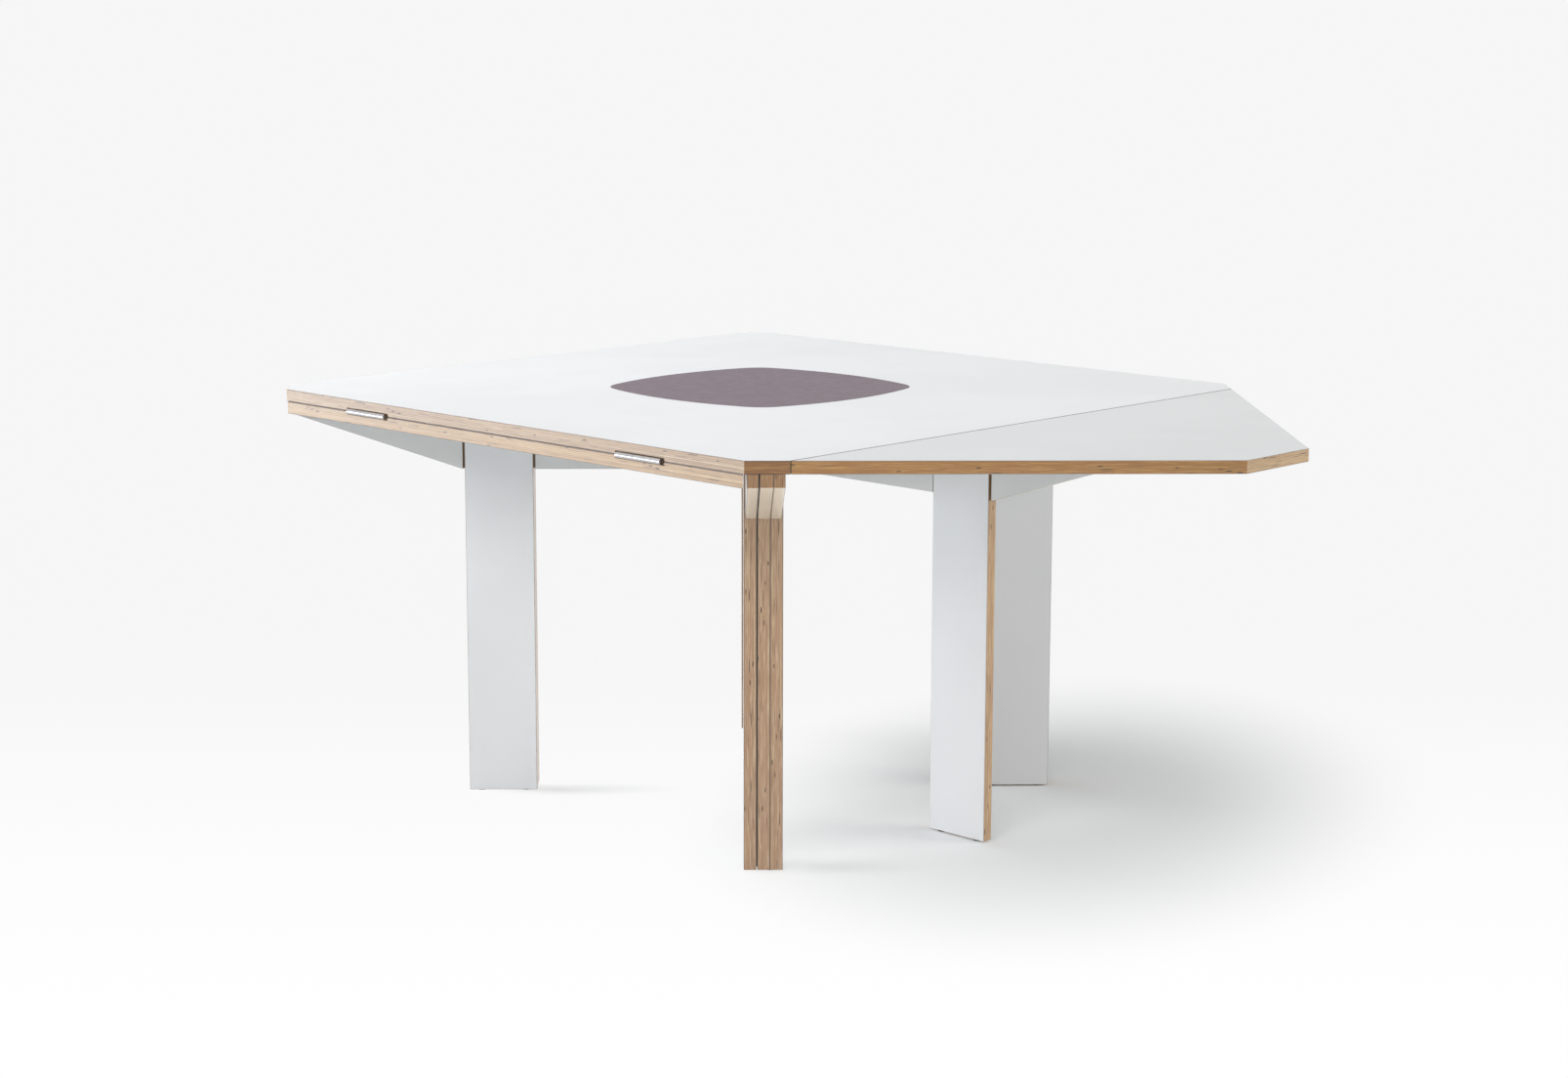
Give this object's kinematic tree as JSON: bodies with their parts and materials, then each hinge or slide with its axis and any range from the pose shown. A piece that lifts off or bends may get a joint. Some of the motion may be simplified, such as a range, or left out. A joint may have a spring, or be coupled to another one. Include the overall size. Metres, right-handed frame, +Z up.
{
  "type": "extending table",
  "caption": "Square table on a cross of beams under its diagonals. Each side has a clipped triangular leaf that folds under the top and opens onto a swinging gate leg.",
  "frame": {"origin": "on the floor under the middle of the square top, which is the middle of the bottom of the part's box", "axes": "+Z up; the right-hand corner of the top along +X, the front corner along -Y; the picture looks along +Y"},
  "size_m": [1.6856, 1.6856, 0.74],
  "materials": {
    "birch_ply": "oiled birch plywood, layers showing at the edges",
    "white_laminate": "satin white laminate",
    "leaf_laminate": "satin white laminate, slightly greyer",
    "inlay": "matt mauve grey",
    "chrome_steel": "polished",
    "plain_steel": "plain",
    "screw_steel": "zinc plated",
    "faced_board": "birch plywood with white laminate faces, bare edges",
    "glide_plastic": "matt dark grey"
  },
  "bodies": {
    "table": {"top_core": "birch_ply", "top_face": "white_laminate", "top_under_face": "white_laminate", "centre_inlay": "inlay", "leaf_core_front_right": "birch_ply", "leaf_face_front_right": "leaf_laminate", "leaf_under_face_front_right": "leaf_laminate", "hinge_flaps_top": "chrome_steel", "hinge_pins": "plain_steel", "hinge_screws_top": "screw_steel", "hinge_flaps_front_right": "chrome_steel", "hinge_screws_front_right": "screw_steel", "catch_magnets": "plain_steel", "catch_plate_front_right": "plain_steel", "beam_left_right": "faced_board", "beam_front_back": "faced_board", "outer_arm_right": "faced_board", "outer_arm_back": "faced_board", "outer_arm_left": "faced_board", "outer_arm_front": "faced_board", "leg_outer_right": "faced_board", "leg_outer_back": "faced_board", "leg_outer_left": "faced_board", "leg_outer_front": "faced_board", "leg_inner_right": "faced_board", "leg_inner_back": "faced_board", "leg_inner_left": "faced_board", "leg_inner_front": "faced_board", "gate_arm_back": "faced_board", "gate_arm_left": "faced_board", "gate_arm_front": "faced_board", "gate_leg_back": "faced_board", "gate_leg_left": "faced_board", "gate_leg_front": "faced_board", "gate_pivot_pins": "plain_steel", "pivot_plate": "plain_steel", "pivot_plate_screws": "screw_steel", "top_screws": "screw_steel", "foot_glides": "glide_plastic"},
    "leaf_front_left": {"leaf_core_front_left": "birch_ply", "leaf_face_front_left": "leaf_laminate", "leaf_under_face_front_left": "leaf_laminate", "hinge_flaps_front_left": "chrome_steel", "hinge_screws_front_left": "screw_steel", "catch_plate_front_left": "plain_steel"},
    "leaf_back_left": {"leaf_core_back_left": "birch_ply", "leaf_face_back_left": "leaf_laminate", "leaf_under_face_back_left": "leaf_laminate", "hinge_flaps_back_left": "chrome_steel", "hinge_screws_back_left": "screw_steel", "catch_plate_back_left": "plain_steel"},
    "leaf_back_right": {"leaf_core_back_right": "birch_ply", "leaf_face_back_right": "leaf_laminate", "leaf_under_face_back_right": "leaf_laminate", "hinge_flaps_back_right": "chrome_steel", "hinge_screws_back_right": "screw_steel", "catch_plate_back_right": "plain_steel"},
    "gate_right": {"gate_arm_right": "faced_board", "gate_leg_right": "faced_board", "gate_glides_right": "glide_plastic"}
  },
  "joints": [
    {"name": "leaf_front_left_fold", "type": "hinge", "parent": "table", "child": "leaf_front_left", "pos_m": [-0.43926, -0.43926, 0.7185], "axis": [-0.7071, 0.7071, 0], "range_deg": [0, 180]},
    {"name": "leaf_back_left_fold", "type": "hinge", "parent": "table", "child": "leaf_back_left", "pos_m": [-0.43926, 0.43926, 0.7185], "axis": [0.7071, 0.7071, 0], "range_deg": [0, 180]},
    {"name": "leaf_back_right_fold", "type": "hinge", "parent": "table", "child": "leaf_back_right", "pos_m": [0.43926, 0.43926, 0.7185], "axis": [0.7071, -0.7071, 0], "range_deg": [0, 180]},
    {"name": "gate_right_swing", "type": "hinge", "parent": "table", "child": "gate_right", "pos_m": [0.044, -0.021, 0.6], "axis": [0, 0, 1], "range_deg": [-43, 45]}
  ]
}
